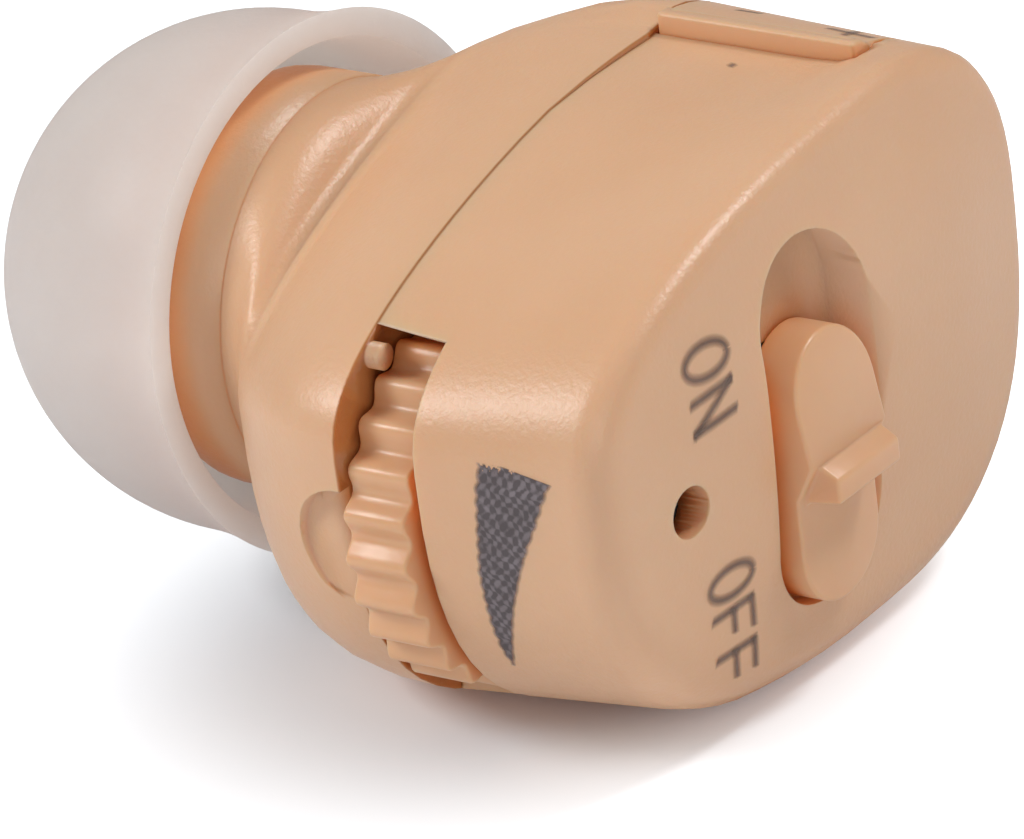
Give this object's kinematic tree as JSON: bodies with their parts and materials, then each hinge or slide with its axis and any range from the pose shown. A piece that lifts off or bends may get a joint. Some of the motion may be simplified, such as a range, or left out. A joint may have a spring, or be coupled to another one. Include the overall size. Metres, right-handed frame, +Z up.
{
  "type": "hearing amplifier",
  "caption": "In-ear hearing amplifier: flesh-coloured shell with ribbed volume wheel, ON/OFF slider, hinged battery door and soft translucent ear tip.",
  "frame": {"origin": "middle of the bounding box, at its lowest level", "axes": "+Y along the sound bore, towards the ear; +Z up across the face, from OFF to ON; +X towards the battery door"},
  "size_m": [0.0166, 0.0206, 0.0127],
  "materials": {
    "shell_plastic": "flesh-coloured moulded plastic with a fine spark texture",
    "trim_plastic": "flesh-coloured moulded plastic, slightly glossy",
    "silicone": "milky translucent silicone, frosted",
    "steel": "plain drawn or machined steel",
    "cell_steel": "nickel-plated steel of the cell",
    "black_plastic": "black moulded plastic",
    "black_rubber": "soft black rubber",
    "contact_metal": "gold-plated spring strip",
    "board": "green coated glass-fibre board",
    "capacitor_ceramic": "tan ceramic",
    "screen_cloth": "fine woven screen",
    "white_plastic": "white moulded plastic",
    "lead_coating": "red enamel on fine wire"
  },
  "bodies": {
    "shell": {"front_shell": "shell_plastic", "rear_shell": "shell_plastic", "volume_control_body": "black_plastic", "switch_body": "steel", "door_hinge_pin": "steel", "contact_positive": "contact_metal", "contact_negative": "contact_metal", "circuit_board": "board", "amplifier_chip": "black_plastic", "capacitors": "capacitor_ceramic", "resistors": "black_plastic", "microphone": "steel", "microphone_boot": "black_rubber", "dust_screen": "screen_cloth", "receiver": "steel", "receiver_sleeve": "black_rubber", "sound_tube": "silicone", "wax_filter": "white_plastic", "receiver_leads": "lead_coating"},
    "wheel": {"volume_wheel": "trim_plastic", "volume_control_rotor": "steel", "wheel_screw": "steel"},
    "slider": {"power_slider": "trim_plastic", "switch_lever": "black_plastic"},
    "door": {"battery_door": "shell_plastic", "cell_can": "cell_steel", "cell_gasket": "black_rubber", "cell_cap": "cell_steel"},
    "tip": {"ear_tip": "silicone"}
  },
  "joints": [
    {"name": "volume_turn", "type": "hinge", "parent": "shell", "child": "wheel", "pos_m": [-0.00428, -0.00328, 0.00504], "axis": [0, 1, 0], "range_deg": [-130, 130]},
    {"name": "power_slide", "type": "slide", "parent": "shell", "child": "slider", "axis": [0, 0, 1], "range_m": [0, 0.0019]},
    {"name": "door_swing", "type": "hinge", "parent": "shell", "child": "door", "pos_m": [0.00547, -0.00531, 0.00207], "axis": [0, 1, 0], "range_deg": [0, 75]},
    {"name": "tip_pull", "type": "slide", "parent": "shell", "child": "tip", "axis": [0, 1, 0], "range_m": [0, 0.006]}
  ]
}
